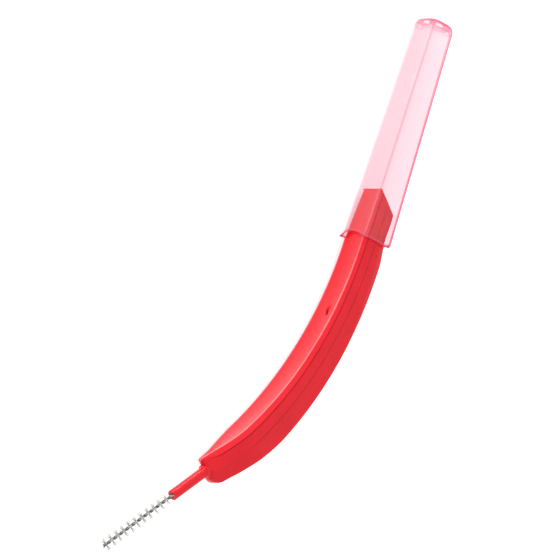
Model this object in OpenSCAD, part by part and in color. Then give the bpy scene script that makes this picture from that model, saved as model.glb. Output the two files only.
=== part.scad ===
// Interdental brush with a curved moulded handle, and its travel cap pushed on to the handle's rear.
// It lies on its flank: X runs along the cap, the handle curves in the XY plane, Z is up.

/* [Handle] */
// Radius of the handle's curve, along its middle
curve_r = 67; // [58:1:76]
// Angle that the handle turns through between cap and nose
curve_angle = 38.2; // [33:0.1:43]
// Distance from the cap's mouth to the start of the curve
curve_gap = 0.1; // [0.1:0.1:2]
// Middle of the handle to the crest of the rim on its inner face
face_d = 2.1; // [1.9:0.05:2.15]
// Middle of the handle to its back, at the start of the curve
back_d = 2.26; // [2:0.02:2.4]
// How much deeper the back bellies out towards the nose
back_belly = 1.9; // [1:0.1:2.4]
// Half of the handle's width at the start of the curve
seat_half_w = 2.57; // [2.3:0.01:2.59]
// Half of the handle's width at its widest, behind the nose
nose_half_w = 3.05; // [2.8:0.05:3.4]
// Width of the bevel between the inner face and each flank
bevel_w = 0.6; // [0.3:0.05:0.8]
// Width of the crest between that bevel and the recess
crest_w = 0.14; // [0.08:0.02:0.3]
// Depth of the recess in the inner face
recess_d = 0.14; // [0.05:0.01:0.3]
// Angle by which each flank draws in behind its parting line
flank_draft = 4; // [1:0.5:6]
// Depth of each flank in front of its parting line
parting_d = 1.7; // [1:0.1:2]

/* [Rear of the handle] */
// Length of the handle that the cap covers
seat_l = 7.8; // [6:0.1:9]
// Angle by which the covered length leans back from the cap's axis
seat_lean = 3; // [1:0.1:4]
// Step by which the covered length is smaller than the body in front of it
seat_step = 0.07; // [0.05:0.01:0.12]
// Angle by which each side of the covered length draws in towards its rear end
seat_draw = 2.5; // [1:0.1:3]
// Length that the slanted rear end takes off the back
slant_l = 2.7; // [1:0.1:4]

/* [Nose] */
// Straight length of the handle past the end of its curve
nose_l = 1.9; // [1.5:0.1:4]
// Radius of each side of the pointed nose, seen from the inner face
ogive_r = 26; // [24:1:40]
// Length over which the nose narrows before the end of the curve
ogive_run = 9.7; // [8:0.1:11]
// Radius of the nose's lower corner
chin_r = 1.9; // [1:0.1:2.2]
// Width of the bevel where it runs round the nose's tip
nose_bevel_w = 0.75; // [0.5:0.05:0.9]

/* [Stem] */
// Radius of the stem that holds the wire
stem_r = 0.82; // [0.7:0.01:1]
// Free length of the stem
stem_l = 7; // [5:0.1:9]
// Radius of the fillet ring where the stem leaves the nose
collar_r = 1.1; // [1.05:0.01:1.2]
// Length of that ring
collar_l = 0.35; // [0.2:0.05:0.6]
// Radius of the bore that the wire is set in
bore_r = 0.32; // [0.31:0.01:0.4]
// Depth of that bore
bore_l = 9; // [7:0.1:10]
// Depth of the funnel at the mouth of the bore
funnel_l = 0.3; // [0.1:0.05:0.5]

/* [Moulding mark] */
// Distance along the curve from its start to the gate mark
gate_run = 12.4; // [6:0.2:30]
// Radius of the round recess at the gate
gate_r = 0.62; // [0.4:0.02:0.8]
// Depth of that recess below the inner face
gate_d = 0.22; // [0.1:0.01:0.4]
// Radius of the nub left in it
gate_nub_r = 0.2; // [0.1:0.02:0.3]

/* [Wire] */
// Radius of the wire
wire_r = 0.125; // [0.1:0.005:0.125]
// Length of wire that stands out of the stem
wire_l = 15; // [12:0.1:18]
// Length in which the twisted pair makes one turn
twist_pitch = 2.6; // [2:0.1:3.4]
// Space between the two legs, where the filaments are pinched
pinch_gap = 0.08; // [0.07:0.01:0.09]
// Length of the twisted pair inside the stem
wire_set_l = 8.4; // [6:0.1:8.6]

/* [Filaments] */
// Number of filament bundles along the wire
bundle_count = 22; // [12:1:22]
// Number of filament ends on each side of a bundle
bundle_ends = 8; // [4:1:8]
// Distance from the wire's axis to the filament tips
brush_r = 1.12; // [0.9:0.02:1.4]
// The same at the stem's end of the brush, where the bundles thin out
brush_stem_r = 0.95; // [0.8:0.02:1.3]
// Length of wire left bare at its tip
tip_bare_l = 0.4; // [0.3:0.05:0.8]
// Thickness of the layer of filaments between the legs
layer_t = 0.04; // [0.03:0.005:0.05]
// Length of wire that one bundle takes up
bundle_l = 0.42; // [0.3:0.02:0.5]
// Length over which the tips of one bundle fan out
fan_l = 0.8; // [0.5:0.02:1]
// Thickness of a filament at its tip
tip_t = 0.035; // [0.03:0.005:0.05]

/* [Cap] */
// Length of the cap
cap_l = 35; // [32:0.5:40]
// Width of the cap at its mouth, across the handle's flanks
cap_w = 5.96; // [5.96:0.02:6.3]
// Depth of the cap at its mouth, from inner face to back
cap_d = 5.75; // [5.7:0.05:6.2]
// Width lost from the mouth to the closed end
cap_w_taper = 1.1; // [0.6:0.1:1.2]
// Depth lost from the mouth to the closed end
cap_d_taper = 1.2; // [0.6:0.1:1.3]
// Radius of the cap's long corners at the mouth
cap_corner_r = 1.25; // [0.9:0.05:1.5]
// Wall of the cap
cap_wall = 0.34; // [0.28:0.02:0.34]
// Thickness of the closed end
cap_end_t = 0.8; // [0.5:0.1:1.2]
// Length of the rounding at the closed end
cap_dome_l = 1.2; // [0.8:0.1:1.6]
// How far the cap's middle lies behind the handle's middle
cap_drop = 0.4; // [0.36:0.02:0.5]
// Height of the scoop cut in the mouth's edge
scoop_h = 0.8; // [0.4:0.05:1]
// Radius of that scoop
scoop_r = 4.4; // [3:0.1:6]
// Radius of the round ends of each vent slot near the closed end
vent_r = 0.25; // [0.2:0.05:0.4]
// Distance between the middles of those ends
vent_l = 1.2; // [0.6:0.1:1.6]
// Distance from the vents to the closed end
vent_in = 1.35; // [1.3:0.05:3]
// Length of the curled lip at the mouth's inner corner
lip_l = 1.25; // [0.8:0.05:1.5]
// Radius of the lip's curl
lip_r = 1.7; // [1.2:0.1:2.4]
// Width of the lip
lip_w = 1.1; // [0.8:0.1:1.5]
// Thickness of the lip
lip_t = 0.3; // [0.22:0.01:0.34]

/* [Hidden] */
bundle_names = [for (i = [1 : 22]) str("bundle_", i < 10 ? "0" : "", i)];
$fn = 64;

// Overrun of every cut, so that no two faces only touch
cut = 1;
// Reach of the blocks that keep one side of a shape
reach = 200;

// Share of the belly by which the back circle is smaller than one about the curve's own centre
belly_share = 0.25;
// Number of bellies that the swept section reaches past the back
belly_reach_share = 3;
// Share of the seat's lean that its back has
lift_share = 0.5;
// Length by which the seat is rooted in the body, and the body's outline runs on over the seat
root_l = 0.6;
root_over = 0.05;
// Share of the chin's radius by which the nose's lower edge rises towards the rear
under_share = 0.05;
// Share of the gate's depth by which its nub stands below the inner face
nub_share = 1 / 3;

// The handle's flanks open like a wedge from seat to nose
ogive_back_angle = curve_angle - ogive_run / curve_r * 180 / PI;
flare_run = curve_r * sin(ogive_back_angle);
flare_angle = atan((nose_half_w - seat_half_w) / flare_run);
back_r = curve_r + back_d - back_belly * belly_share;
face_q = curve_r - face_d;
block_d = face_d + back_d + back_belly * belly_reach_share;
chin_d = back_d + back_belly * (sin(curve_angle) - belly_share * (1 - cos(curve_angle)));
// Angle by which the back circle runs on under the nose
nose_turn = 1;
// The chin's circle is this much larger than its corner, so that it crosses both edges
chin_over = 0.02;
// The ogive lets go of the flanks this far behind its widest line
ogive_clear = 0.4;
keep_x = ogive_run + ogive_clear;
// There its bevel is this much narrower than the flanks' own bevel, so that the two cross
bevel_clear = 0.03;
// The nose's slabs lean so that their bevel follows the hollow inner face
face_rise = face_q - sqrt(face_q * face_q - keep_x * keep_x);
slab_lean = atan((face_rise - bevel_w + bevel_clear + nose_bevel_w) / (nose_l + keep_x));
// Distance from the outer edge of the rim to the foot of the recess
rim_w = bevel_w + crest_w + recess_d;
// Sides of the widest circles
wide_fn = 200;

// Where the curve ends and the straight nose starts
curve_end = [-curve_gap - curve_r * sin(curve_angle), curve_r * (1 - cos(curve_angle))];
nose_dir = [-cos(curve_angle), sin(curve_angle)];
nose_end = curve_end + nose_dir * nose_l;
stem_end = nose_end + nose_dir * stem_l;
tip = stem_end + nose_dir * wire_l;

// Helix of the two legs: distance of each leg's middle from the pair's axis
leg_d = wire_r + pinch_gap / 2;
wire_sides = 8;
rings_per_turn = 10;
pair_l = wire_l + wire_set_l;
leg_rings = round(pair_l / twist_pitch * rings_per_turn);
fold_rings = 6;
ease_l = twist_pitch / 4;

// Spacing of the bundles, four to a turn
bundle_step = (wire_l - tip_bare_l - bundle_l) / (bundle_count - 0.5);
pad_half_w = leg_d + wire_r / 2;

// Cap frame: the mouth is at x = 0 and the closed end at x = cap_l
cap_y = -cap_drop;
// Share of the corner's radius by which the lip stands in from the cap's side
lip_in_share = 0.3;
lip_z = -cap_w / 2 + cap_corner_r * lip_in_share;
// Share by which the long corners' radius shrinks towards the closed end
corner_taper_share = 0.2;
least_corner_r = 0.15;
corner_sides = 32;
// Thickness of the slices that the cap is spanned over
slice_t = 0.05;
// Angles of those slices round the closed end's edge, and how far they draw in for its length
dome_angles = [0, 30, 60, 90];
dome_in_share = 0.5;

// The middle of the part's underside is its origin. The highest filaments end this share of the
// brush's radius above the wire's tip.
top_share = 0.2;
low_x = tip[0] - (leg_d + wire_r) * sin(curve_angle);
high_y = tip[1] + brush_r * top_share;
low_y = cap_y - cap_d / 2;
shift = [-(low_x + cap_l) / 2, -(low_y + high_y) / 2, nose_half_w];

// Half of the handle's section: q runs outwards from the centre of the curve, z up from the middle.
// The seat has the same section, smaller by a step, and runs further past the middle.
module half_section(step) {
    flank_end = block_d - bevel_w - parting_d;
    half_w = seat_half_w - step;
    polygon([
        [face_q + step, -cut - step],
        [face_q + step, seat_half_w - bevel_w],
        [face_q + bevel_w, half_w],
        [face_q + bevel_w + parting_d, half_w],
        [face_q + block_d - step, half_w - flank_end * tan(flank_draft)],
        [face_q + block_d - step, -cut - step]
    ]);
}

// Half of the section of the recess in the inner face.
module recess_section(step) {
    floor_q = face_q + step + recess_d;
    polygon([
        [face_q - cut, -cut],
        [floor_q, -cut],
        [floor_q, seat_half_w - rim_w],
        [face_q - cut, seat_half_w - rim_w + floor_q - face_q + cut]
    ]);
}

// Upper half of a section's sweep along the curve, from its start to past the nose. The nose is so
// short that the curve runs on through it.
module half_curve() {
    turn = curve_angle + (nose_l + cut) / curve_r * 180 / PI;
    translate([0, curve_r, 0]) rotate([0, 0, -90 - turn]) rotate_extrude(angle = turn) children();
}

// Upper half of the seat, a straight length that leans back and is rooted in the curved body.
module half_seat() {
    run = seat_l + curve_gap + cut + root_l;
    rotate([0, 0, -seat_lean]) translate([run - root_l, curve_r, 0]) rotate([90, 0, -90])
        linear_extrude(run) children();
}

// A half is leaned so that the handle widens towards its nose, cut at the middle and mirrored.
module both_halves() {
    for (side = [0, 1]) mirror([0, 0, side]) translate([-curve_gap, 0, 0]) intersection() {
        rotate([0, flare_angle, 0]) children();
        translate([-reach / 2, -reach / 2, 0]) cube([reach, reach, reach]);
    }
}

// Side view of the handle: back curve, slanted rear end, blunt nose with its rounded chin. The back
// circle runs on under the rear and the nose, whose lower edges cross it instead of touching it.
module side_outline() {
    top = face_d + cut;
    back_lift = seat_l * sin(seat_lean);
    difference() {
        union() {
            intersection() {
                translate([-curve_gap - back_belly, back_r - back_d]) circle(back_r);
                translate([-curve_gap, curve_r]) polygon([
                    [root_over, cut],
                    [root_over, -curve_r - reach],
                    -(curve_r + reach) * [sin(curve_angle + nose_turn), cos(curve_angle + nose_turn)],
                    [-cut, cut]
                ]);
            }
            polygon([
                [-curve_gap - root_l, -back_d + seat_step],
                [seat_l - slant_l, -back_d + seat_step + back_lift * lift_share],
                [seat_l, face_d - back_lift],
                [seat_l, top],
                [-curve_gap - root_l, top]
            ]);
            translate(curve_end) rotate(-curve_angle) polygon([
                [cut, top],
                [-nose_l + nose_bevel_w + cut, top],
                [-nose_l, face_d - nose_bevel_w],
                [-nose_l, -chin_d],
                [-nose_l + chin_r, -chin_d],
                [cut, -chin_d + chin_r * under_share]
            ]);
        }
        translate(curve_end) rotate(-curve_angle) difference() {
            translate([-nose_l - cut, -chin_d - cut]) square(chin_r + cut);
            translate([-nose_l + chin_r, chin_r - chin_d]) circle(chin_r + chin_over);
        }
    }
}

// Plan of the covered length, which draws in like a wedge from the cap's mouth. It keeps all the rest.
module seat_wedge() {
    start_w = seat_half_w + cut * tan(seat_draw);
    end_w = seat_half_w - (seat_l + cut) * tan(seat_draw);
    rotate([90, 0, 0]) translate([0, 0, -reach / 2]) linear_extrude(reach) {
        polygon([[-cut, start_w], [seat_l + cut, end_w], [seat_l + cut, -end_w], [-cut, -start_w]]);
        translate([-reach - cut / 2, -reach / 2]) square([reach, reach]);
    }
}

// Frame at the end of the curve: x runs back along the handle, y along the normal of its inner face.
module at_curve_end() {
    translate([curve_end[0], curve_end[1], 0]) rotate([0, 0, -curve_angle]) children();
}

// The pointed nose is what two great round slabs share. Each slab has the rim's bevel round its edge.
module nose_slabs() {
    at_curve_end() {
        translate([-nose_l, face_d, 0]) rotate([0, 0, slab_lean]) intersection() {
            nose_slab(-1);
            nose_slab(1);
            translate([-reach, -reach / 2, -reach / 2])
                cube([reach + nose_l + keep_x + ogive_clear, reach, reach]);
        }
        translate([keep_x, -reach / 2, -reach / 2]) cube([reach, reach, reach]);
    }
}

module nose_slab(side) {
    translate([nose_l + ogive_run, 0, side * (ogive_r - nose_half_w)]) rotate([-90, 0, 0])
        rotate_extrude($fn = wide_fn) polygon([
            [0, -reach / 2],
            [ogive_r, -reach / 2],
            [ogive_r, -nose_bevel_w],
            [ogive_r - nose_bevel_w - cut, cut],
            [0, cut]
        ]);
}

// Plan of the recess at the nose, seen along the normal of the inner face: it ends in a point.
module recess_plan() {
    at_curve_end() rotate([90, 0, 0]) translate([0, 0, -reach / 2]) linear_extrude(reach) {
        intersection() {
            translate([ogive_run, ogive_r - nose_half_w]) circle(ogive_r - rim_w, $fn = wide_fn);
            translate([ogive_run, nose_half_w - ogive_r]) circle(ogive_r - rim_w, $fn = wide_fn);
            translate([-reach, -reach / 2]) square([reach + keep_x + ogive_clear, reach]);
        }
        translate([keep_x, -reach / 2]) square([reach, reach]);
    }
}

module along_nose(at) {
    translate([at[0], at[1], 0]) rotate([0, 0, 180 - curve_angle]) rotate([0, 90, 0]) children();
}

// Gate mark: a round recess in the inner face, with the nub that the sprue left.
module gate_recess() {
    turn = gate_run / curve_r * 180 / PI;
    translate([-curve_gap, curve_r, 0]) rotate([0, 0, -turn]) rotate([90, 0, 0]) difference() {
        translate([0, 0, face_q - cut]) cylinder(r = gate_r, h = cut + recess_d + gate_d);
        translate([0, 0, face_q + recess_d + gate_d * nub_share]) cylinder(r = gate_nub_r, h = gate_d);
    }
}

module handle() color("#d8202a") translate(shift) difference() {
    union() {
        difference() {
            intersection() {
                both_halves() {
                    half_curve() half_section(0);
                    half_seat() half_section(seat_step);
                }
                translate([0, 0, -reach / 2]) linear_extrude(reach) side_outline();
                nose_slabs();
                seat_wedge();
            }
            intersection() {
                both_halves() {
                    half_curve() recess_section(0);
                    half_seat() recess_section(seat_step);
                }
                recess_plan();
            }
        }
        along_nose(nose_end - nose_dir * nose_l / 2) cylinder(r = stem_r, h = nose_l / 2 + stem_l);
        along_nose(nose_end - nose_dir * collar_l) cylinder(r1 = collar_r, r2 = stem_r, h = collar_l * 2);
    }
    along_nose(stem_end - nose_dir * bore_l) rotate([0, 0, 90]) rotate_extrude() polygon([
        [0, 0],
        [bore_r, 0],
        [bore_r, bore_l - funnel_l],
        [bore_r + funnel_l + cut, bore_l + cut],
        [0, bore_l + cut]
    ]);
    gate_recess();
}

// Angle of the twist at a distance u from the fold: it starts gently, then turns at the full pitch.
function twist(u) = 360 / twist_pitch * (u < ease_l ? u * u / (2 * ease_l) : u - ease_l / 2);

// A ring of the wire's outline about a point p, in the plane of the unit vectors a and b.
function ring(p, a, b) = [for (k = [0 : wire_sides - 1])
    let (w = 360 * k / wire_sides) p + wire_r * (cos(w) * a + sin(w) * b)];

// Frame of a leg at distance u from the fold: z runs along the pair's axis, s is the leg's side.
function leg_ring(u, s) =
    let (
        w = twist(u),
        out = s * [cos(w), sin(w), 0],
        climb = leg_d * 2 * PI / twist_pitch * min(1, u / ease_l),
        along = s * climb * [-sin(w), cos(w), 0] + [0, 0, 1],
        side = cross(along / norm(along), out)
    )
    ring(leg_d * out + [0, 0, u], out, s * side);

function fold_ring(w) =
    let (out = [cos(w), 0, -sin(w)])
    ring(leg_d * out, out, [0, 1, 0]);

// One wire folded double: down one leg, round the fold, and back up the other leg.
module twisted_wire() {
    us = [for (i = [0 : leg_rings]) pair_l * i / leg_rings];
    first = [for (i = [leg_rings : -1 : 0]) leg_ring(us[i], 1)];
    bend = [for (i = [1 : fold_rings - 1]) fold_ring(180 * i / fold_rings)];
    second = [for (i = [0 : leg_rings]) leg_ring(us[i], -1)];
    rings = concat(first, bend, second);
    count = len(rings);
    n = wire_sides;
    faces = concat(
        [for (j = [0 : count - 2], k = [0 : n - 1]) each [
            [j * n + k, (j + 1) * n + k, (j + 1) * n + (k + 1) % n],
            [j * n + k, (j + 1) * n + (k + 1) % n, j * n + (k + 1) % n]
        ]],
        [for (k = [1 : n - 2]) [0, k, k + 1]],
        [for (k = [1 : n - 2]) [(count - 1) * n, (count - 1) * n + k + 1, (count - 1) * n + k]]
    );
    polyhedron(points = [for (r = rings) each r], faces = faces);
}

module wire() color("#8a8c8e") translate(shift)
    along_nose(stem_end - nose_dir * wire_set_l) twisted_wire();

// A bundle: its pinched layer follows the helix, and each end of the layer fans out in square strands.
// Row i of the layer has four corners: left lower, left upper, right lower, right upper.
module bundle(index) {
    n = bundle_ends;
    mid = wire_set_l + wire_l - tip_bare_l - bundle_l / 2 - index * bundle_step;
    share = index / (bundle_count - 1);
    r = brush_r + (brush_stem_r - brush_r) * pow(share, 3);
    function corner(i, side, lift) =
        let (u = mid + bundle_l * (i / n - 0.5), w = twist(u))
        side * pad_half_w * [-sin(w), cos(w), 0] + lift * layer_t / 2 * [cos(w), sin(w), 0] + [0, 0, u];
    function strand_end(i, side, along, lift) =
        let (
            root_u = mid + bundle_l * ((i + 0.5) / n - 0.5),
            w = twist(root_u),
            u = mid + fan_l * ((i + 0.5) / n - 0.5)
        )
        side * r * [-sin(w), cos(w), 0]
            + lift * tip_t / 2 * [cos(w), sin(w), 0]
            + [0, 0, u + along * tip_t / 2];
    rows = [for (i = [0 : n]) [corner(i, -1, -1), corner(i, -1, 1), corner(i, 1, -1), corner(i, 1, 1)]];
    tips = [for (i = [0 : n - 1], side = [-1, 1])
        [for (along = [-1, 1], lift = [-1, 1]) strand_end(i, side, along, lift)]];
    base = 4 * (n + 1);
    // Corner numbers of a strand: its root on the layer's edge, then its tip.
    function strand_faces(i, s) =
        let (
            a = 4 * i + 2 * s,
            b = 4 * (i + 1) + 2 * s,
            t = base + 4 * (2 * i + s),
            quads = [
                [a, a + 1, t + 1, t],
                [b, t + 2, t + 3, b + 1],
                [a, t, t + 2, b],
                [a + 1, b + 1, t + 3, t + 1],
                [t, t + 1, t + 3, t + 2]
            ]
        )
        [for (f = quads) s == 0 ? [f[3], f[2], f[1], f[0]] : f];
    layer_quads = concat(
        [for (i = [0 : n - 1]) [4 * i, 4 * i + 2, 4 * i + 6, 4 * i + 4]],
        [for (i = [0 : n - 1]) [4 * i + 1, 4 * i + 5, 4 * i + 7, 4 * i + 3]],
        [[0, 1, 3, 2], [4 * n, 4 * n + 2, 4 * n + 3, 4 * n + 1]]
    );
    quads = concat(layer_quads, [for (i = [0 : n - 1], s = [0, 1]) each strand_faces(i, s)]);
    points = concat([for (row = rows) each row], [for (t = tips) each t]);
    polyhedron(points = points, faces = [for (f = quads) each [[f[0], f[1], f[2]], [f[0], f[2], f[3]]]]);
}

module filament_bundle(index) color("#d9dcd8") translate(shift)
    along_nose(stem_end - nose_dir * wire_set_l) bundle(index);

// Rounded rectangle of the cap's section at a distance x from the mouth, inset by a wall.
module cap_section(x, inset, shrink) {
    w = cap_w - cap_w_taper * x / cap_l - 2 * inset - 2 * shrink;
    d = cap_d - cap_d_taper * x / cap_l - 2 * inset - 2 * shrink;
    r = max(cap_corner_r * (1 - corner_taper_share * x / cap_l) - inset, least_corner_r);
    translate([x, cap_y, 0]) rotate([0, 90, 0]) linear_extrude(slice_t)
        for (sz = [-1, 1], sy = [-1, 1])
            translate([sz * (w / 2 - r), sy * (d / 2 - r)]) circle(r, $fn = corner_sides);
}

// Outer form: the tapered box, with its closed end rounded in three steps.
module cap_outer() {
    hull() {
        cap_section(0, 0, 0);
        for (s = dome_angles)
            cap_section(
                cap_l - slice_t - cap_dome_l * (1 - sin(s)),
                0,
                cap_dome_l * dome_in_share * (1 - cos(s))
            );
    }
}

// The cavity runs past the mouth, on the same taper as the outside.
module cap_cavity() {
    hull() {
        cap_section(-cut, cap_wall, 0);
        cap_section(cap_l - cap_end_t - slice_t, cap_wall, 0);
    }
}

// Two crossed slots give a vent in each of the four sides.
module cap_vents() {
    translate([cap_l - vent_in, cap_y, 0]) for (turn = [0, 90]) rotate([turn, 0, 0])
        translate([0, 0, -reach / 2]) linear_extrude(reach) {
            for (side = [-1, 1]) translate([0, side * vent_l / 2]) circle(vent_r);
            square([2 * vent_r, vent_l], center = true);
        }
}

// A scoop in the mouth's edge on the inner face, off centre towards the lip.
module cap_scoop() {
    translate([scoop_h - scoop_r, cap_y, lip_z / 2]) rotate([-90, 0, 0]) cylinder(r = scoop_r, h = reach);
}

// The lip curls outwards from the inner corner of the mouth.
module cap_lip() {
    face_y = cap_y + cap_d / 2;
    sweep = lip_l / lip_r * 180 / PI;
    translate([scoop_h, face_y + lip_r - lip_t, lip_z])
        rotate([0, 0, -90 - sweep]) rotate_extrude(angle = sweep)
            translate([lip_r - lip_t, 0]) square([lip_t, lip_w]);
}

module cap() color("#f7b6cb", 0.6) translate(shift) {
    difference() {
        cap_outer();
        cap_cavity();
        cap_vents();
        cap_scoop();
    }
    cap_lip();
}

handle();
wire();
cap();
for (i = [0 : bundle_count - 1])
    filament_bundle(i);
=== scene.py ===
"""Interdental brush with its travel cap: the dressed model, an add-on that also runs as a script.

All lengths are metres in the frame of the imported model. Z is up, X runs along the cap, and the
handle curves in the XY plane with its hollow inner face towards +Y.
"""
import math

import bpy
import numpy as np
from bpy.props import FloatProperty, FloatVectorProperty, IntProperty, PointerProperty, StringProperty
from mathutils import Matrix, Vector


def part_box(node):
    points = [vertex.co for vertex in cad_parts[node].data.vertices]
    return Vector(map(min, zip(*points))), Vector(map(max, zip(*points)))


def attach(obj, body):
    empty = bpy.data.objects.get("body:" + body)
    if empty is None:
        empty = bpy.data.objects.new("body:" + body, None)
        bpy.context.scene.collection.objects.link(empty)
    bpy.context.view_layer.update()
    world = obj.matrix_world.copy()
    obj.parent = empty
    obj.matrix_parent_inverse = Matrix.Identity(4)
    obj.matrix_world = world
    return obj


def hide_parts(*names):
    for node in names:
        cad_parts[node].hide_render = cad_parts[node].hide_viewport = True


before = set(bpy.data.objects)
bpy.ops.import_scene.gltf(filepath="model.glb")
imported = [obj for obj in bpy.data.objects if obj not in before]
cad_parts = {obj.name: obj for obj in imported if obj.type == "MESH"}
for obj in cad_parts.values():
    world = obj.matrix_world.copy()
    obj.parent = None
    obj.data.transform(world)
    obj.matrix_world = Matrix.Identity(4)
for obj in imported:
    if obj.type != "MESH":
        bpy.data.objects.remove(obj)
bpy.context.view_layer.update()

bl_info = {
    "name": "Interdental Brush",
    "version": (1, 0, 0),
    "blender": (4, 5, 0),
    "location": "View3D > Sidebar > Interdental Brush",
    "description": "Builds the dressed handle, cap, twisted wire and filaments over the packed frame",
    "category": "Object",
}

MM = 0.001
CAP_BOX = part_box("cap")
HANDLE_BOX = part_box("handle")
BUNDLE_NODES = sorted(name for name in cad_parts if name.startswith("bundle_"))
UP = np.array([0.0, 0.0, 1.0])
# Name, place in metres, size in metres and power in watts; every lamp faces the origin.
LAMPS = (
    ("key_softbox", (0.37, 0.64, 0.14), 0.25, 1.4),
    ("middle_softbox", (0.59, 0.46, 0.12), 0.2, 0.38),
    ("rim_softbox", (0.72, 0.19, 0.13), 0.2, 0.8),
)


def length(name, description, default_mm):
    """A length, written in millimetres and kept in metres."""
    return FloatProperty(
        name=name, description=description, default=default_mm * MM,
        min=0.0, max=100 * MM, precision=5, unit="LENGTH", subtype="DISTANCE",
    )


def turn(name, description, degrees):
    """An angle, written in degrees."""
    return FloatProperty(
        name=name, description=description, default=math.radians(degrees),
        min=-2 * math.pi, max=2 * math.pi, unit="ROTATION", subtype="ANGLE",
    )


def colour(name, description, default):
    """A colour, as an sRGB hex value."""
    return StringProperty(name=name, description=description, default=default)


class HandleSettings(bpy.types.PropertyGroup):
    """Sizes and colours of the moulded handle and its stem."""

    curve_radius: length("Curve radius", "Radius of the handle's middle line", 67)
    curve_angle: turn("Curve angle", "Angle that the handle turns through", 38.2)
    curve_gap: length("Curve gap", "Cap's mouth to the start of the curve", 0.1)
    face_depth: length("Face depth", "Middle line to the rim's crest", 2.1)
    back_depth: length("Back depth", "Middle line to the back, at the start of the curve", 2.26)
    back_belly: length("Back belly", "How much deeper the back gets towards the nose", 1.9)
    seat_half_width: length("Seat half width", "Half the width at the start of the curve", 2.57)
    nose_half_width: length("Nose half width", "Half the width at the widest place", 3.05)
    bevel_rear: length("Bevel at the cap", "Width of the rim's outer bevel at the cap", 0.52)
    bevel_front: length("Bevel at the nose", "Width of the rim's outer bevel at the nose", 0.74)
    crest: length("Crest", "Width of the rim's crest", 0.1)
    recess: length("Recess", "Depth of the inner face below the crest, in its middle", 0.22)
    parting: length("Parting", "Depth of the flank in front of its parting crease", 1.65)
    crease: length("Crease", "Depth of the fine grooves in the flank", 0.05)
    draft: turn("Draft", "Draft of the flank behind the parting crease", 4)
    back_edge: length("Back edge", "Radius of the edge between flank and back, at the cap", 0.3)
    back_edge_front: length("Back edge at the nose", "The same along the front half", 0.14)
    fullness: length("Fullness", "How far the flanks swell along the middle", 0.3)
    nose_lift: length("Nose lift", "How much the back rises again towards the nose", 0.8)
    back_swell: length("Back swell", "How far the back swells along the middle", 0.18)
    seat_length: length("Seat length", "Length that the cap covers", 7.8)
    seat_step: length("Seat step", "Step by which that length is smaller", 0.07)
    seat_lean: turn("Seat lean", "Lean of that length", 3)
    seat_draw: turn("Seat draw", "Draft of that length's sides", 2.5)
    slant_length: length("Slant length", "Length of the slanted rear end", 2.7)
    nose_length: length("Nose length", "Straight length past the curve", 1.9)
    ogive_radius: length("Ogive radius", "Radius of the nose's sides in plan", 26)
    ogive_run: length("Ogive run", "Length over which the nose narrows before the curve ends", 9.7)
    chin_radius: length("Chin radius", "Radius of the nose's lower corner", 1.95)
    stem_radius: length("Stem radius", "Radius of the stem", 0.82)
    stem_length: length("Stem length", "Free length of the stem", 7)
    bore_radius: length("Bore radius", "Radius of the bore for the wire", 0.32)
    bore_length: length("Bore length", "Depth of that bore", 8.9)
    gate_run: length("Gate run", "Curve's start to the gate mark", 12.4)
    gate_depth: length("Gate depth", "Depth of the gate mark", 0.3)
    plastic: colour("Plastic", "Red polypropylene", "#F41026")
    # Pale pink of the painted highlight along the rim's crest.
    plastic_painted_highlight: colour("Painted highlight", "The same, as a painted highlight on the crest", "#F79AA0")


class CapSettings(bpy.types.PropertyGroup):
    """Sizes and colours of the travel cap."""

    cap_length: length("Length", "Mouth to the plain solid's closed end", 35)
    width: length("Width", "Width at the mouth", 5.96)
    depth: length("Depth", "Depth at the mouth", 5.75)
    width_taper: length("Width taper", "Width lost towards the closed end", 1.1)
    depth_taper: length("Depth taper", "Depth lost towards the closed end", 1.2)
    corner: length("Corner radius", "Radius of the long corners", 1.25)
    inner_corner: length("Inner corner radius", "Radius of the cavity's long corners", 0.5)
    wall: length("Wall", "Wall thickness", 0.34)
    end_wall: length("End wall", "Thickness of the closed end", 0.8)
    dome: length("End rounding", "Radius of the edge at the closed end", 1.2)
    drop: length("Drop", "Middle of the cap below the handle's middle", 0.4)
    arch: length("Arch", "Height of the arch in the mouth's edge", 0.85)
    lip: length("Lip", "How far the lip curls outwards", 0.75)
    vent_radius: length("Vent radius", "Radius of the ends of a vent slot", 0.25)
    vent_length: length("Vent length", "Distance between those ends", 0.8)
    vent_inset: length("Vent inset", "Vents to the plain solid's closed end", 0.6)
    vent_shift: length("Vent shift", "How far the slots lie off the middle, towards the near corner", 0.8)
    reach: length("Reach", "How far the rounded end stands past the plain solid's", 0.28)
    plastic: colour("Plastic", "Clear polypropylene with a pink cast", "#FEF5F7")
    plastic_deep: colour("Plastic in its depth", "The same, seen along its wall", "#F25C8A")
    plastic_pale: colour("Plastic's haze", "Light that the same scatters", "#F9BFD0")


class BrushSettings(bpy.types.PropertyGroup):
    """Sizes and colours of the twisted wire and its filaments."""

    wire_radius: length("Wire radius", "Radius of the wire", 0.125)
    wire_length: length("Wire length", "Length outside the stem", 15)
    wire_set: length("Wire set", "Length inside the stem", 8.4)
    pitch: length("Pitch", "Length of one turn of the twist", 2.638)
    phase: turn("Phase", "Angle at which the twist starts, from straight down", 17.3)
    pinch_gap: length("Pinch gap", "Space between the two legs", 0.08)
    brush_radius: length("Brush radius", "Wire's axis to the filament tips", 1.12)
    brush_radius_stem: length("Brush radius at the stem", "The same beside the stem", 0.95)
    tip_bare: length("Bare tip", "Wire left bare at the tip", 0.4)
    filament: length("Filament", "Diameter of a filament", 0.037)
    root_spread: length("Root spread", "Length of wire that one bundle takes", 0.18)
    tip_spread: length("Tip spread", "Length over which its tips fan out", 1.05)
    ends: IntProperty(
        name="Ends", description="Filament ends on each side of a bundle", default=40, min=4, max=60)
    steel: colour("Steel", "Stainless wire", "#90918E")
    nylon: colour("Nylon", "Undyed nylon", "#EDEFEA")


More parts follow.
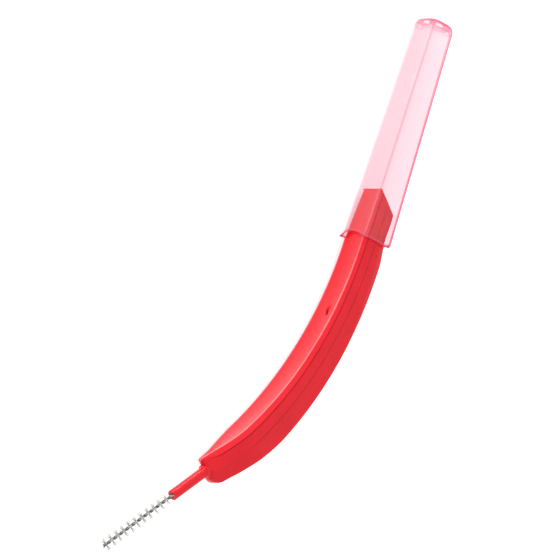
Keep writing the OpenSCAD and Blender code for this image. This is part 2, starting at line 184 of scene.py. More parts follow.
class StageSettings(bpy.types.PropertyGroup):
    """Camera and floor."""

    azimuth: turn("Azimuth", "Direction of the camera from the object", 112.67)
    elevation: turn("Elevation", "Height of the camera above the floor", 49.88)
    roll: turn("Roll", "Camera's roll, from upright", 89.87)
    distance: FloatProperty(name="Distance", description="Camera to object", default=3.0, unit="LENGTH")
    view_width: length("View width", "Width of the view at the object", 82.3)
    aim: FloatVectorProperty(
        name="Aim", description="Middle of the view", size=3, subtype="XYZ",
        default=(0.0013, -0.0002, 0.00305))
    floor: colour("Floor", "Matt white floor", "#F4F4F4")


def to_linear(value):
    """Linear RGBA of an sRGB hex colour."""
    parts = [int(value[i:i + 2], 16) / 255 for i in (1, 3, 5)]
    return tuple(c / 12.92 if c <= 0.04045 else ((c + 0.055) / 1.055) ** 2.4 for c in parts) + (1.0,)


def scaled(rgba, factor):
    """A colour made darker or lighter by a factor."""
    return tuple(min(1.0, c * factor) for c in rgba[:3]) + (1.0,)


def set_inputs(tree, node, inputs):
    """Sets a node's inputs: a socket is linked, a constant is set on the input itself."""
    for name, value in inputs.items():
        if isinstance(value, bpy.types.NodeSocket):
            tree.links.new(value, node.inputs[name])
        else:
            node.inputs[name].default_value = value


def add_node(tree, kind, inputs=None, **fields):
    """Adds a node, and sets its fields and then its inputs."""
    node = tree.nodes.new(kind)
    for key, value in fields.items():
        setattr(node, key, value)
    set_inputs(tree, node, inputs or {})
    return node


def attribute(tree, name):
    """A number kept at each point of the mesh."""
    return add_node(tree, "ShaderNodeAttribute", attribute_name=name).outputs["Fac"]


def noise(tree, scale, detail):
    """A cloudy texture in the piece's own coordinates."""
    where = add_node(tree, "ShaderNodeTexCoord").outputs["Object"]
    inputs = {"Vector": where, "Scale": scale, "Detail": detail}
    return add_node(tree, "ShaderNodeTexNoise", inputs).outputs["Fac"]


def combine(tree, operation, first, second):
    """Two numbers, added, multiplied or the like."""
    return add_node(tree, "ShaderNodeMath", {0: first, 1: second}, operation=operation).outputs["Value"]


def map_range(tree, value, low, high, start=0.0, end=1.0):
    """A number taken from the range start to end into the range low to high."""
    inputs = {"Value": value, "From Min": start, "From Max": end, "To Min": low, "To Max": high}
    return add_node(tree, "ShaderNodeMapRange", inputs).outputs["Result"]


def mix_colours(tree, factor, a, b):
    """A colour between a and b."""
    inputs = {"Factor": factor, "A": a, "B": b}
    return add_node(tree, "ShaderNodeMix", inputs, data_type="RGBA").outputs["Result"]


def new_material(name):
    """A node material, its tree and its Principled shader."""
    material = bpy.data.materials.new(name)
    material.use_nodes = True
    tree = material.node_tree
    shader = next(n for n in tree.nodes if n.type == "BSDF_PRINCIPLED")
    return material, tree, shader


def set_surface(tree, surface):
    """Links a shader's socket to the material's output."""
    out = next(n for n in tree.nodes if n.type == "OUTPUT_MATERIAL")
    tree.links.new(surface, out.inputs["Surface"])


def smooth(x, low, high):
    """Smoothstep of x from low to high."""
    t = np.clip((x - low) / (high - low), 0.0, 1.0)
    return t * t * (3.0 - 2.0 * t)


def bell(x, width):
    """Bell curve of x about zero, which falls to 1/e at the width."""
    return np.exp(-(x / width) ** 2)


def add_object(name, data):
    """A new object in the scene."""
    item = bpy.data.objects.new(name, data)
    bpy.context.scene.collection.objects.link(item)
    return item


def finish_piece(name, points, faces, material, body, replaced):
    """Makes a smooth piece of points and faces, and hangs it on its body in place of the CAD nodes."""
    mesh = bpy.data.meshes.new(name)
    mesh.from_pydata(points.tolist(), [], faces)
    mesh.validate()
    mesh.polygons.foreach_set("use_smooth", np.ones(len(mesh.polygons), bool))
    mesh.update()
    mesh.materials.append(material)
    piece = add_object(name, mesh)
    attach(piece, body)
    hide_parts(*replaced)
    return piece


def write_attribute(mesh, name, values):
    """Keeps a number at each point of a mesh."""
    mesh.attributes.new(name, "FLOAT", "POINT").data.foreach_set("value", values.astype(np.float32))


def loft_faces(stations, around, start=0):
    """Quads between rings of `around` points, with a pole before the first ring and one after the last.

    The rings come first, one after another, then the two poles.
    """
    ring = np.arange(around)
    rows = np.arange(stations - 1)[:, None] * around
    a = (rows + ring).ravel() + start
    b = (rows + (ring + 1) % around).ravel() + start
    quads = np.stack([a, b, b + around, a + around], 1).tolist()
    first, last = start + stations * around, start + stations * around + 1
    base = start + (stations - 1) * around
    quads += [[first, start + (k + 1) % around, start + k] for k in range(around)]
    quads += [[last, base + k, base + (k + 1) % around] for k in range(around)]
    return quads


def round_corners(corners, radii, steps):
    """Rounds the corners of polylines, each row of `corners` being one open polyline.

    Each inner corner becomes a quadratic curve from a cut on one side of it to a cut on the other,
    with the corner as its control point; a cut is the radius, or less where a side is short.
    """
    here = corners[:, 1:-1]
    to_before, to_after = corners[:, :-2] - here, corners[:, 2:] - here
    len_before = np.linalg.norm(to_before, axis=2, keepdims=True) + 1e-12
    len_after = np.linalg.norm(to_after, axis=2, keepdims=True) + 1e-12
    cut = np.minimum(radii[:, :, None], 0.45 * np.minimum(len_before, len_after))
    start = here + to_before / len_before * cut
    end = here + to_after / len_after * cut
    t = np.linspace(0, 1, steps)[:, None]
    start, here, end = start[:, :, None], here[:, :, None], end[:, :, None]
    return (1 - t) ** 2 * start + 2 * t * (1 - t) * here + t ** 2 * end


class Spine:
    """Middle line of the handle: a leaning seat, an arc and a straight nose, in the XY plane."""

    def __init__(self, scene):
        h, c = scene.interdental_handle, scene.interdental_cap
        self.h = h
        mouth_x = CAP_BOX[1][0] - c.cap_length
        mouth_y = CAP_BOX[0][1] + c.depth / 2 + c.drop
        self.mouth = np.array([mouth_x, mouth_y, (HANDLE_BOX[0][2] + HANDLE_BOX[1][2]) / 2])
        self.start = np.array([-h.curve_gap, 0.0, 0.0])
        self.rear = -(h.seat_length + h.curve_gap)
        self.arc_end = h.curve_radius * h.curve_angle
        self.front = self.arc_end + h.nose_length
        cos, sin = math.cos(h.curve_angle), math.sin(h.curve_angle)
        self.nose = np.array([-cos, sin, 0.0])
        self.curve_end = self.start + np.array([-sin, 1 - cos, 0.0]) * h.curve_radius
        self.stem_end = self.mouth + self.curve_end + self.nose * (h.nose_length + h.stem_length)

    def at(self, s):
        """Points in the mouth's frame, tangents and normals at distances s from the arc's start.

        The angle is that of the arc between its ends and of the nose past it; behind its start it
        eases into the seat's lean, and the points there are sums of short steps.
        """
        h = self.h
        ease = 1.0 * MM
        fine = np.linspace(0, self.rear, 800)
        lean = h.seat_lean * smooth(-fine, 0.0, ease)
        step = np.gradient(fine)
        seat_x = np.cumsum(-np.cos(lean) * step)
        seat_y = np.cumsum(np.sin(lean) * step)
        a = np.clip(s, 0, self.arc_end) / h.curve_radius
        angle = a + h.seat_lean * smooth(-s, 0.0, ease)
        tangent = np.stack([-np.cos(angle), np.sin(angle), 0 * angle], -1)
        normal = np.stack([np.sin(angle), np.cos(angle), 0 * angle], -1)
        past = np.maximum(s - self.arc_end, 0)[:, None]
        arc = np.stack([-np.sin(a), 1 - np.cos(a), 0 * a], -1) * h.curve_radius + self.nose * past
        seat = [np.interp(-s, -fine, steps - steps[0]) for steps in (seat_x, seat_y)]
        seat = np.stack(seat + [0 * s], -1)
        return self.start + np.where((s < 0)[:, None], seat, arc), tangent, normal


def handle_stations(h, spine):
    """Distances along the spine, closer together at both ends, at the cap's mouth and at the gate mark."""
    slant_end = spine.rear + h.slant_length
    narrowing = spine.arc_end - h.ogive_run
    return np.unique(np.round(np.concatenate([
        spine.rear + np.array([0.0, 0.02, 0.05, 0.1, 0.16, 0.24, 0.34]) * MM,
        np.linspace(spine.rear + 0.5 * MM, slant_end + 0.6 * MM, 34),
        np.linspace(slant_end + 0.8 * MM, -1.1 * MM, 12),
        np.linspace(-1.0 * MM, 0.2 * MM, 12),
        np.linspace(0.4 * MM, h.gate_run - 1.3 * MM, 22),
        np.linspace(h.gate_run - 1.24 * MM, h.gate_run + 1.24 * MM, 48),
        np.linspace(h.gate_run + 1.3 * MM, narrowing, 44),
        np.linspace(narrowing, spine.arc_end - 2 * MM, 26)[1:],
        spine.front - 3.8 * MM * np.linspace(1, 0, 70)[1:-1] ** 1.5,
        spine.front - np.array([0.003, 0.0005]) * MM,
    ]), 9))


def rounding(distance, radius):
    """Drop of an edge rounded to a quarter circle, at a distance from its end."""
    return radius - np.sqrt(np.maximum(radius ** 2 - np.maximum(radius - distance, 0) ** 2, 0))


def handle_back(h, spine, s, point, normal, top, seat_step):
    """Depth of the handle's back below the spine at each station.

    It follows a circle that is eccentric to the spine's, and tapers in the seat. It swells most just
    behind the mouth, rises to the nose, and is cut off by the chin's circle and the rear's slant.
    """
    seat_taper, rear_edge, extra_swell = 0.088, 0.1 * MM, 0.9
    radius = h.curve_radius + h.back_depth - h.back_belly / 4
    offset = point - spine.start - np.array([-h.back_belly, radius - h.back_depth, 0.0])
    b = (offset * normal).sum(1)
    back = b + np.sqrt(np.maximum(b * b - (offset ** 2).sum(1) + radius ** 2, 0))
    back = np.where(s > spine.arc_end, np.interp(spine.arc_end, s, back), back)
    back = np.where(s < 0, h.back_depth - seat_step + seat_taper * s, back)
    swell = 1 + extra_swell - extra_swell * smooth(s, 5 * MM, 20 * MM)
    back = back + h.back_swell * smooth(s, -0.1 * MM, 3 * MM) * swell
    back = back - h.nose_lift * smooth(s, spine.front - 14 * MM, spine.front - 2 * MM)
    back = back - rounding(spine.front - s, h.chin_radius)
    slant = np.clip(1 - (s - spine.rear) / h.slant_length, 0, 1)
    return back - slant * (back + top - rear_edge)


def gate_mark(h, s, across):
    """Depth of a short slanting nick in the face, and height of the sprue's nub that stands at its end."""
    turned, aside = math.radians(24), 0.3 * MM
    ds, dz = s[:, None] - h.gate_run, across - aside
    run = ds * math.cos(turned) + dz * math.sin(turned)
    off = dz * math.cos(turned) - ds * math.sin(turned)
    beside = 1 - smooth(np.abs(off), 0.14 * MM, 0.36 * MM)
    nick = h.gate_depth * beside * smooth(run, -0.35 * MM, 0.0) * (1 - smooth(run, 0.9 * MM, 1.15 * MM))
    from_nub = np.hypot(off - 0.25 * MM, 0.45 * (run + 0.45 * MM))
    return nick, h.gate_depth * (1 - smooth(from_nub, 0.1 * MM, 0.26 * MM))


def handle_surface(h, spine):
    """Points of the handle's body as rings of one section each, swept along the spine.

    A section is a profile in depth and width: hollow floor, crest, bevel, flank, parting crease,
    drafted flank, chamfer, round edge, back. Its half width is the lesser of a flare, a plane turned
    by a small angle, and an ogive, a circle in plan.
    Returns the points, the counts, and two numbers per point: its painted shade and its painted highlight.
    """
    floor_steps, corner_steps, run_steps = 36, 6, 12
    tip_radius, tip_extra, least_width = 0.6 * MM, 0.6 * MM, 0.004 * MM
    s = handle_stations(h, spine)
    point, tangent, normal = spine.at(s)
    n = len(s)
    # The share of the way from the cap to the nose, by which the rim widens and wears.
    along = np.clip(s / (40 * MM), 0, 1.15)
    to_front, to_rear = spine.front - s, s - spine.rear
    seat_step = h.seat_step * smooth(-s, 0.0, 0.25 * MM)
    swell = h.fullness * smooth(s, 0.0, 30 * MM)
    widest = spine.curve_end[0] + h.ogive_run * math.cos(h.curve_angle)
    flare = (h.nose_half_width - h.seat_half_width) / (spine.start[0] - widest)

    def half_width(depth):
        """Half width at each station for a depth along the normal."""
        place = point + normal * depth[:, None]
        wide = h.seat_half_width - seat_step - (place[:, 0] + h.curve_gap) * flare
        wedge = h.seat_half_width - np.maximum(place[:, 0], 0) * math.tan(h.seat_draw)
        u = np.maximum((place - spine.curve_end) @ spine.nose + h.ogive_run, 0)
        ogive = np.sqrt(np.maximum(h.ogive_radius ** 2 - u ** 2, 0))
        ogive = ogive - (h.ogive_radius - h.nose_half_width)
        # The nose's tip is round in plan, with a wider circle round the stem than at the rim.
        reach = tip_radius + tip_extra * smooth(h.face_depth - depth, 0.5 * MM, 1.6 * MM)
        tip = np.sqrt(1 - np.clip(1 - to_front / reach, 0, 1) ** 2)
        side = np.minimum(np.minimum(wide, wedge) + swell, ogive)
        return np.maximum(((side * tip) ** 4 + (reach * tip) ** 4) ** 0.25, least_width)

    # Depths along the normal: the face is at +, the back at -.
    top = h.face_depth - seat_step - rounding(to_front, 0.4 * MM) - rounding(to_rear, 0.12 * MM)
    bottom = -handle_back(h, spine, s, point, normal, top, seat_step)

    # The rim; each limit keeps its parts in order where the section is small.
    w_face = half_width(top)
    bevel = np.minimum(h.bevel_rear + (h.bevel_front - h.bevel_rear) * along, 0.5 * w_face)
    floor_half = w_face - bevel - np.minimum(h.crest, 0.12 * w_face)
    recess = h.recess * smooth(floor_half, 0.05 * MM, 0.7 * MM)
    lip = np.minimum(0.06 * MM, 0.3 * recess)
    facet = np.minimum(0.16 * MM, 0.35 * bevel)
    bevel_depth = np.maximum(top - bevel, bottom + 0.03 * MM)

    # The flank, with a chamfer along the back that is widest at the cap and gone before the middle.
    crease_depth = np.maximum(bevel_depth - h.parting - 0.2 * MM * along, bottom + 0.02 * MM)
    w_crease = half_width(crease_depth)
    chamfer = (1 - smooth(s, 2 * MM, 19 * MM)) * smooth(s, -4.5 * MM, -0.5 * MM)
    low = np.maximum(crease_depth - bottom, 0.02 * MM)
    chamfer_depth = bottom + np.minimum((0.12 + 1.05 * chamfer) * MM, 0.7 * low)
    drawn = half_width(bottom) - (crease_depth - chamfer_depth) * math.tan(h.draft)
    w_low = np.maximum(drawn, 0.35 * w_crease)
    chin = smooth(s, spine.front - 4.5 * MM, spine.front - 0.8 * MM)
    w_back = np.maximum(w_low - (0.05 + 0.3 * chamfer) * MM, 0.3 * w_crease) * (1 - 0.4 * chin)

    corners = np.stack([np.stack([depth, width], -1) for depth, width in (
        (top - lip, floor_half - 0.02 * MM),
        (top, floor_half),
        (top, w_face - bevel),
        (top - 0.62 * facet, w_face - bevel + facet),
        (bevel_depth, half_width(bevel_depth)),
        (crease_depth, w_crease),
        (chamfer_depth, w_low),
        (bottom, w_back),
        (bottom, 0 * bottom),
    )], 1)
    edge = h.back_edge + (h.back_edge_front - h.back_edge) * smooth(s, 0.0, 20 * MM)
    edge = edge + 0.8 * MM * chin
    radii = [np.full(n, r * MM) for r in (0.02, 0.04, 0.04, 0.1, 0.1)]
    radii += [0.12 * MM + 0.5 * MM * chin, np.minimum(edge, 0.6 * w_back)]
    curves = round_corners(corners, np.stack(radii, 1), corner_steps)

    # Half profile from the middle of the hollow floor, a parabola, to the middle of the back.
    t = np.linspace(0, 1, floor_steps)
    floor_depth = (top - lip)[:, None] - (recess - lip)[:, None] * (1 - t ** 2)
    parts = [np.stack([floor_depth, floor_half[:, None] * t], -1), curves[:, 0]]
    # The points crowd towards both ends of a straight run, where the grooves are.
    t = (0.5 - 0.5 * np.cos(np.linspace(0, math.pi, run_steps)))[1:-1, None]
    for k in range(1, curves.shape[1]):
        parts.append(curves[:, k - 1, -1][:, None] * (1 - t) + curves[:, k, 0][:, None] * t)
        parts.append(curves[:, k])
    t = np.linspace(0, 1, run_steps)[1:, None]
    parts.append(curves[:, -1, -1][:, None] * (1 - t) + corners[:, -1][:, None] * t)
    half = np.concatenate(parts, 1)

    # Two fine grooves in the flank: under the bevel, and where the mould's halves part.
    # The first ends at the nose's tip, the second fades before it.
    under_bevel = bell(half[:, :, 0] - bevel_depth[:, None] + 0.12 * MM, 0.075 * MM)
    under_bevel = under_bevel * smooth(to_front, 0.6 * MM, 3 * MM)[:, None]
    at_parting = bell(half[:, :, 0] - crease_depth[:, None], 0.06 * MM)
    at_parting = at_parting * (1 - smooth(s, 36 * MM, 41 * MM))[:, None]
    on_flank = half[:, :, 1] > 0.7 * w_crease[:, None]
    groove = (under_bevel + 0.8 * at_parting) * on_flank
    half[:, :, 1] -= h.crease * groove

    # Close the ring: down the near side, and back up the far side.
    ring = np.concatenate([half, (half * np.array([1, -1]))[:, -2:0:-1]], 1)
    # The grooves are also kept as painted shade, which darkens the colour there.
    shade = np.concatenate([groove, groove[:, -2:0:-1]], 1)
    depth, width = ring[:, :, 0], ring[:, :, 1]
    # A painted highlight lightens the crest and the two facets beside it; it grows towards the nose.
    rim = (w_face - bevel)[:, None]
    inside = floor_half[:, None]
    painted_highlight = smooth(np.abs(width), inside - 0.1 * MM, inside + 0.02 * MM)
    painted_highlight = painted_highlight * (1 - smooth(np.abs(width), rim, rim + 0.12 * MM))
    painted_highlight = painted_highlight * (depth > (top - 0.3 * MM)[:, None]) * (0.45 + 0.55 * along)[:, None]

    nick, nub = gate_mark(h, s, width)
    on_face = depth > (top - h.recess - 0.05 * MM)[:, None]
    depth += (nub - nick) * on_face
    # The gate's nick is darkened as painted shade too.
    shade = np.maximum(shade, np.clip(nick / h.gate_depth, 0, 1) * on_face)

    # The front is slightly hollow between the rim's corner and the stem.
    hollow = 0.2 * MM * smooth(-to_front, -0.9 * MM, 0.0)[:, None]
    hollow = hollow * bell(depth - 1.0 * MM, 0.5 * MM)
    points = point[:, None] + normal[:, None] * ring[:, :, :1] + UP * ring[:, :, 1:]
    points = points - tangent[:, None] * hollow[:, :, None]
    poles = np.stack([points[0].mean(0), points[-1].mean(0)])
    marks = np.stack([np.append(mark.ravel(), [0, 0]) for mark in (shade, painted_highlight)])
    return np.concatenate([points.reshape(-1, 3), poles]) + spine.mouth, n, ring.shape[1], marks


def revolve(profile, origin, axis, around):
    """Rings of a profile, in rows of (distance along, radius), turned about the axis through the origin."""
    w = np.linspace(0, 2 * math.pi, around, endpoint=False)
    circle = np.cos(w)[:, None] * UP + np.sin(w)[:, None] * np.cross(axis, UP)
    rings = origin + profile[:, 0][:, None, None] * axis + profile[:, 1][:, None, None] * circle
    poles = np.stack([origin + profile[0, 0] * axis, origin + profile[-1, 0] * axis])
    return np.concatenate([rings.reshape(-1, 3), poles])


def stem_surface(h, spine, around=64):
    """The stem, a profile turned about the nose's axis: root fillet, rod, rounded end and bore."""
    fillet, edge, tip = 0.26 * MM, 0.1 * MM, h.stem_length
    w = np.linspace(0, math.pi / 2, 10)
    root = np.stack([fillet * (1 - np.cos(w)) - 0.05 * MM, h.stem_radius + fillet * (1 - np.sin(w))], -1)
    w = np.linspace(0, math.pi / 2, 7)
    end = np.stack([tip - edge + edge * np.sin(w), h.stem_radius - edge + edge * np.cos(w)], -1)
    rod = np.linspace(fillet, tip - edge, 20)[1:-1]
    rod = np.stack([rod, np.full_like(rod, h.stem_radius)], -1)
    bore = np.array([
        [tip, h.bore_radius + 0.1 * MM],
        [tip - 0.04 * MM, h.bore_radius + 0.04 * MM],
        [tip - 0.2 * MM, h.bore_radius],
        [tip - h.bore_length, h.bore_radius],
    ])
    start = np.array([[-1.8 * MM, h.stem_radius], [-0.06 * MM, root[0, 1]]])
    profile = np.concatenate([start, root, rod, end, bore])
    origin = spine.stem_end - spine.nose * tip
    return revolve(profile, origin, spine.nose, around), len(profile), around


def red_plastic(h):
    """Moulded polypropylene, red: a soft gloss over a strong colour that carries a little light inside."""
    material, tree, shader = new_material("Moulded polypropylene, red")
    base = to_linear(h.plastic)
    # Melt flow leaves cloudy changes of colour a few millimetres long.
    cloud = noise(tree, 300.0, 3.0)
    # Grains of pigment and the mould's spark texture, 0.2 to 0.4 mm apart.
    grain = noise(tree, 3500.0, 2.0)
    spread = map_range(tree, combine(tree, "ADD", cloud, grain), 0.0, 1.0, start=0.7, end=1.3)
    clouded = mix_colours(tree, spread, scaled(base, 0.9), scaled(base, 1.06))
    # Painted shade: the colour is darkened in the fine grooves and the gate's nick, where little light comes
    # back out.
    shade = attribute(tree, "shade")
    dark = mix_colours(tree, shade, clouded, scaled(base, 0.5))
    # Painted highlight: the crest and the facets beside it are lightened towards pale pink.
    pale = mix_colours(tree, attribute(tree, "painted_highlight"), dark, to_linear(h.plastic_painted_highlight))
    bump = add_node(tree, "ShaderNodeBump", {"Height": grain, "Strength": 0.1, "Distance": 0.03 * MM})
    set_inputs(tree, shader, {
        "Base Color": pale,
        "Normal": bump.outputs["Normal"],
        "Roughness": 0.34,
        "IOR": 1.49,
        "Specular IOR Level": map_range(tree, shade, 0.2, 0.0),
        "Coat Weight": 0.35,
        "Coat Roughness": 0.14,
        "Subsurface Weight": 0.12,
        "Subsurface Radius": (1.0, 0.2, 0.2),
        "Subsurface Scale": 0.8 * MM,
    })
    return material


class OBJECT_OT_interdental_handle(bpy.types.Operator):
    """Builds the curved handle with its pointed nose, recess, gate mark and stem"""

    bl_idname = "object.interdental_handle"
    bl_label = "Build Handle"

    def execute(self, context):
        h, spine = context.scene.interdental_handle, Spine(context.scene)
        body, stations, around, marks = handle_surface(h, spine)
        stem, rows, turns = stem_surface(h, spine)
        points = np.concatenate([body, stem])
        faces = loft_faces(stations, around) + loft_faces(rows, turns, len(body))
        piece = finish_piece("handle_moulding", points, faces, red_plastic(h), "brush", ["handle"])
        for name, values in zip(("shade", "painted_highlight"), marks):
            write_attribute(piece.data, name, np.concatenate([values, np.zeros(len(stem))]))
        return {"FINISHED"}


def rounded_box_ring(corner_steps=9, side_steps=22):
    """Weights of a rounded rectangle's ring: a point is (sx (a - r) + r cos, sy (b - r) + r sin)."""
    signs = [(1, 1), (-1, 1), (-1, -1), (1, -1)]
    rows = []
    for k, (sx, sy) in enumerate(signs):
        w = np.radians(np.linspace(k * 90, k * 90 + 90, corner_steps))
        rows.append(np.stack([np.full_like(w, sx), np.full_like(w, sy), np.cos(w), np.sin(w)], -1))
        nx, ny = signs[(k + 1) % 4]
        t = np.linspace(0, 1, side_steps)[1:-1]
        w = np.full_like(t, math.radians(k * 90 + 90))
        rows.append(np.stack([sx + (nx - sx) * t, sy + (ny - sy) * t, np.cos(w), np.sin(w)], -1))
    return np.concatenate(rows)


def cap_surface(c, mouth):
    """Rings of the cap: from the closed end down the outside, round the mouth's edge, and up the inside.

    Each ring is a rounded rectangle whose sides taper along the cap. The mouth's edge is pushed in by
    the arch, a circle's arc across the inner face, and the far corner's wall curls outwards as a lip.
    Returns the points, the counts, and the tint: how deep the plastic's colour is at each point.
    """
    ring = rounded_box_ring()
    toward_z, toward_y = ring[:, 2], ring[:, 3]
    full_length = c.cap_length + c.reach
    inner_end, inner_dome = full_length - c.end_wall, 0.5 * MM
    # The edge's form fades out over this length from the mouth, and the rings are closer together there.
    form = 3 * MM
    end_steps, side_steps, form_steps, inner_steps = 14, 40, 24, 8
    flatness, edge_drop = 0.6, 0.05 * MM
    w = np.radians(np.linspace(90, 0, end_steps))
    outer_x = np.concatenate([
        full_length - c.dome + c.dome * np.sin(w),
        np.linspace(full_length - c.dome, form, side_steps)[1:],
        np.linspace(form, 0, form_steps)[1:],
    ])
    outer_in = np.zeros(len(outer_x))
    outer_in[:end_steps] = c.dome * (1 - np.cos(w)) * flatness
    w = np.radians(np.linspace(0, 90, inner_steps))[1:]
    inner_x = np.concatenate([
        np.linspace(0, form, form_steps),
        np.linspace(form, inner_end - inner_dome, side_steps)[1:],
        inner_end - inner_dome + inner_dome * np.sin(w),
    ])
    inner_in = np.full(len(inner_x), c.wall)
    inner_in[1 - inner_steps:] += inner_dome * (1 - np.cos(w))
    edge_x, edge_in = np.full(2, -edge_drop), np.array([0.3, 0.7]) * c.wall
    x = np.concatenate([outer_x, edge_x, inner_x])[:, None]
    inset = np.concatenate([outer_in, edge_in, inner_in])[:, None]
    past_outer = (np.arange(len(x)) >= len(outer_x))[:, None]
    inner = smooth(inset, 0.25 * c.wall, 0.75 * c.wall) * past_outer
    place = np.clip(x, 0, None) / c.cap_length
    a = (c.width - c.width_taper * place) / 2 - inset
    b = (c.depth - c.depth_taper * place) / 2 - inset
    # The long corners shrink towards the closed end, and the cavity's are tighter than the outer ones.
    outer_r = c.corner * (1 - 0.2 * place)
    r = np.minimum(outer_r * (1 - inner) + c.inner_corner * inner, np.minimum(a, b) - 0.01 * MM)
    z = ring[:, 0] * (a - r) + r * toward_z
    y = ring[:, 1] * (b - r) + r * toward_y

    # The arch is high near the far corner and runs out at the near corner of the inner face.
    half_w, half_d = c.width / 2, c.depth / 2
    zm = ring[:, 0] * (half_w - c.corner) + c.corner * toward_z
    ym = ring[:, 1] * (half_d - c.corner) + c.corner * toward_y
    on_face = smooth(ym, half_d - 1.3 * MM, half_d - 0.3 * MM)
    arch = c.arch * (1 - np.clip((zm + 0.95 * MM) / (3.3 * MM), 0, 1) ** 2)
    arch = arch * smooth(zm, -2.5 * MM, -1.5 * MM) * on_face
    lip = bell(zm + 2.1 * MM, 0.42 * MM) * on_face
    # The back's edge is drawn up a little, most at its near corner.
    on_back = smooth(-ym, half_d - 1.4 * MM, half_d - 0.2 * MM)
    heel = 0.55 * MM * on_back * (0.4 + 0.6 * smooth(zm, -half_w, half_w))
    mouth_edge = arch + heel - 0.35 * MM * lip
    x = x + mouth_edge * (1 - smooth(x, 0.0, form))
    curl = c.lip * lip * (1 - np.clip((x + 0.4 * MM) / (1.7 * MM), 0, 1)) ** 2
    middle = mouth - np.array([0, c.drop, 0])
    points = np.stack([x, y + curl, z - 0.35 * curl], -1) + middle
    poles = np.array([[full_length, 0, 0], [inner_end, 0, 0]]) + middle

    # Tint: in the cavity's near corner, along the mouth's edge, and on the lip.
    near = (toward_z > 0.2) & (toward_y > 0.2)
    tint = 0.32 * inner * bell(toward_z - toward_y, 0.5) * near
    tint = np.maximum(tint, 0.9 * bell(x - mouth_edge, 0.16 * MM))
    tint = np.maximum(tint, lip * (1 - smooth(x, 0.2 * MM, 1.3 * MM)))
    # The closed end is deepest in colour on the side of the near corner, and pale behind it.
    near_side = smooth(0.76 * toward_z + 0.59 * toward_y, -0.1, 0.5)
    at_end = smooth(x, c.cap_length - 1.7 * MM, c.cap_length - 0.1 * MM)
    tint = np.maximum(tint, (0.08 + 0.66 * near_side) * at_end * (1 - 0.8 * inner))
    # Painted deep colour along one long corner of the back, standing in for light that passes a long way
    # along the wall at that silhouette.
    behind = bell(np.degrees(np.arctan2(-toward_y, toward_z)) - 42, 34)
    tint = np.maximum(tint, np.clip(1.6 * behind - 0.35, 0, 1) * (1 - 0.5 * inner))
    pole_tint = [0.3, 0.1]
    tint = np.append(tint.ravel(), pole_tint)
    return np.concatenate([points.reshape(-1, 3), poles]), len(x), len(ring), tint


def slot_mesh(name, radius, middles, depth, turned, at):
    """A bar whose section has two round ends, standing across the cap; the cap's vents are cut with it."""
    w = np.linspace(-math.pi / 2, math.pi / 2, 14)
    end = np.stack([radius * np.sin(w), middles / 2 + radius * np.cos(w)], -1)
    outline = np.concatenate([end, -end])
    count = len(outline)
    rings = np.concatenate([np.column_stack([outline, np.full(count, z)]) for z in (-depth / 2, depth / 2)])
    if turned:
        rings = np.stack([rings[:, 0], -rings[:, 2], rings[:, 1]], -1)
    k = np.arange(count)
    sides = np.stack([k, k + count, (k + 1) % count + count, (k + 1) % count], -1).tolist()
    mesh = bpy.data.meshes.new(name)
    mesh.from_pydata((rings + at).tolist(), [], sides + [k.tolist(), (k + count)[::-1].tolist()])
    # The walls that the slot leaves are seen through a long way of plastic.
    write_attribute(mesh, "tint", np.full(2 * count, 0.9))
    return mesh


def cut_vents(piece, c, mouth):
    """Two crossed slots through the cap near its closed end leave a vent in each of its four sides."""
    at = mouth + np.array([c.cap_length - c.vent_inset, -c.drop, 0])
    shift = np.array([0, 1.4 * c.vent_shift, c.vent_shift])
    cutters = []
    for turned in (False, True):
        name = f"vent_cutter_{int(turned)}"
        mesh = slot_mesh(name, c.vent_radius, c.vent_length, 20 * MM, turned, at + shift)
        cutters.append(add_object(name, mesh))
        cut = piece.modifiers.new(name, "BOOLEAN")
        cut.operation, cut.solver, cut.object = "DIFFERENCE", "EXACT", cutters[-1]
    bpy.context.view_layer.update()
    cut_piece = piece.evaluated_get(bpy.context.evaluated_depsgraph_get())
    cut_mesh = bpy.data.meshes.new_from_object(cut_piece)
    piece.modifiers.clear()
    old, piece.data = piece.data, cut_mesh
    bpy.data.meshes.remove(old)
    # Each cutter goes with its mesh.
    for cutter in cutters:
        bpy.data.meshes.remove(cutter.data)
    cut_mesh.polygons.foreach_set("use_smooth", np.ones(len(cut_mesh.polygons), bool))
    cut_mesh.set_sharp_from_angle(angle=math.radians(50))


def clear_plastic(c):
    """Clear polypropylene with a pink cast: light passes through, and takes up more pink on a longer way.

    The way is long where the wall is seen along its face, and where the tint says that the plastic is
    thick. A thin coat of gloss lies over it.
    """
    material, tree, shader = new_material("Clear polypropylene, pink cast")
    facing = add_node(tree, "ShaderNodeLayerWeight", {"Blend": 0.5}).outputs["Facing"]
    steep = map_range(tree, facing, 0.0, 0.35, start=0.62, end=1.0)
    deep = combine(tree, "MAXIMUM", attribute(tree, "tint"), steep)
    plastic, plastic_deep = to_linear(c.plastic), to_linear(c.plastic_deep)
    through = mix_colours(tree, deep, plastic, plastic_deep)
    clear = add_node(tree, "ShaderNodeBsdfTransparent", {"Color": through})
    # A little of the light is scattered, more where the plastic is thick.
    haze = mix_colours(tree, deep, to_linear(c.plastic_pale), plastic_deep)
    set_inputs(tree, shader, {"Base Color": haze, "Roughness": 0.16, "IOR": 1.49})
    layers = {0: map_range(tree, deep, 0.02, 0.45), 1: clear.outputs["BSDF"], 2: shader.outputs["BSDF"]}
    body = add_node(tree, "ShaderNodeMixShader", layers)
    # The same gloss on both sides of the wall, about that of an index of 1.49 where it is seen squarely.
    gloss = add_node(tree, "ShaderNodeBsdfAnisotropic", {"Roughness": 0.12})
    shine = map_range(tree, combine(tree, "POWER", facing, 5.0), 0.03, 0.1)
    layers = {0: shine, 1: body.outputs["Shader"], 2: gloss.outputs["BSDF"]}
    set_surface(tree, add_node(tree, "ShaderNodeMixShader", layers).outputs["Shader"])
    return material


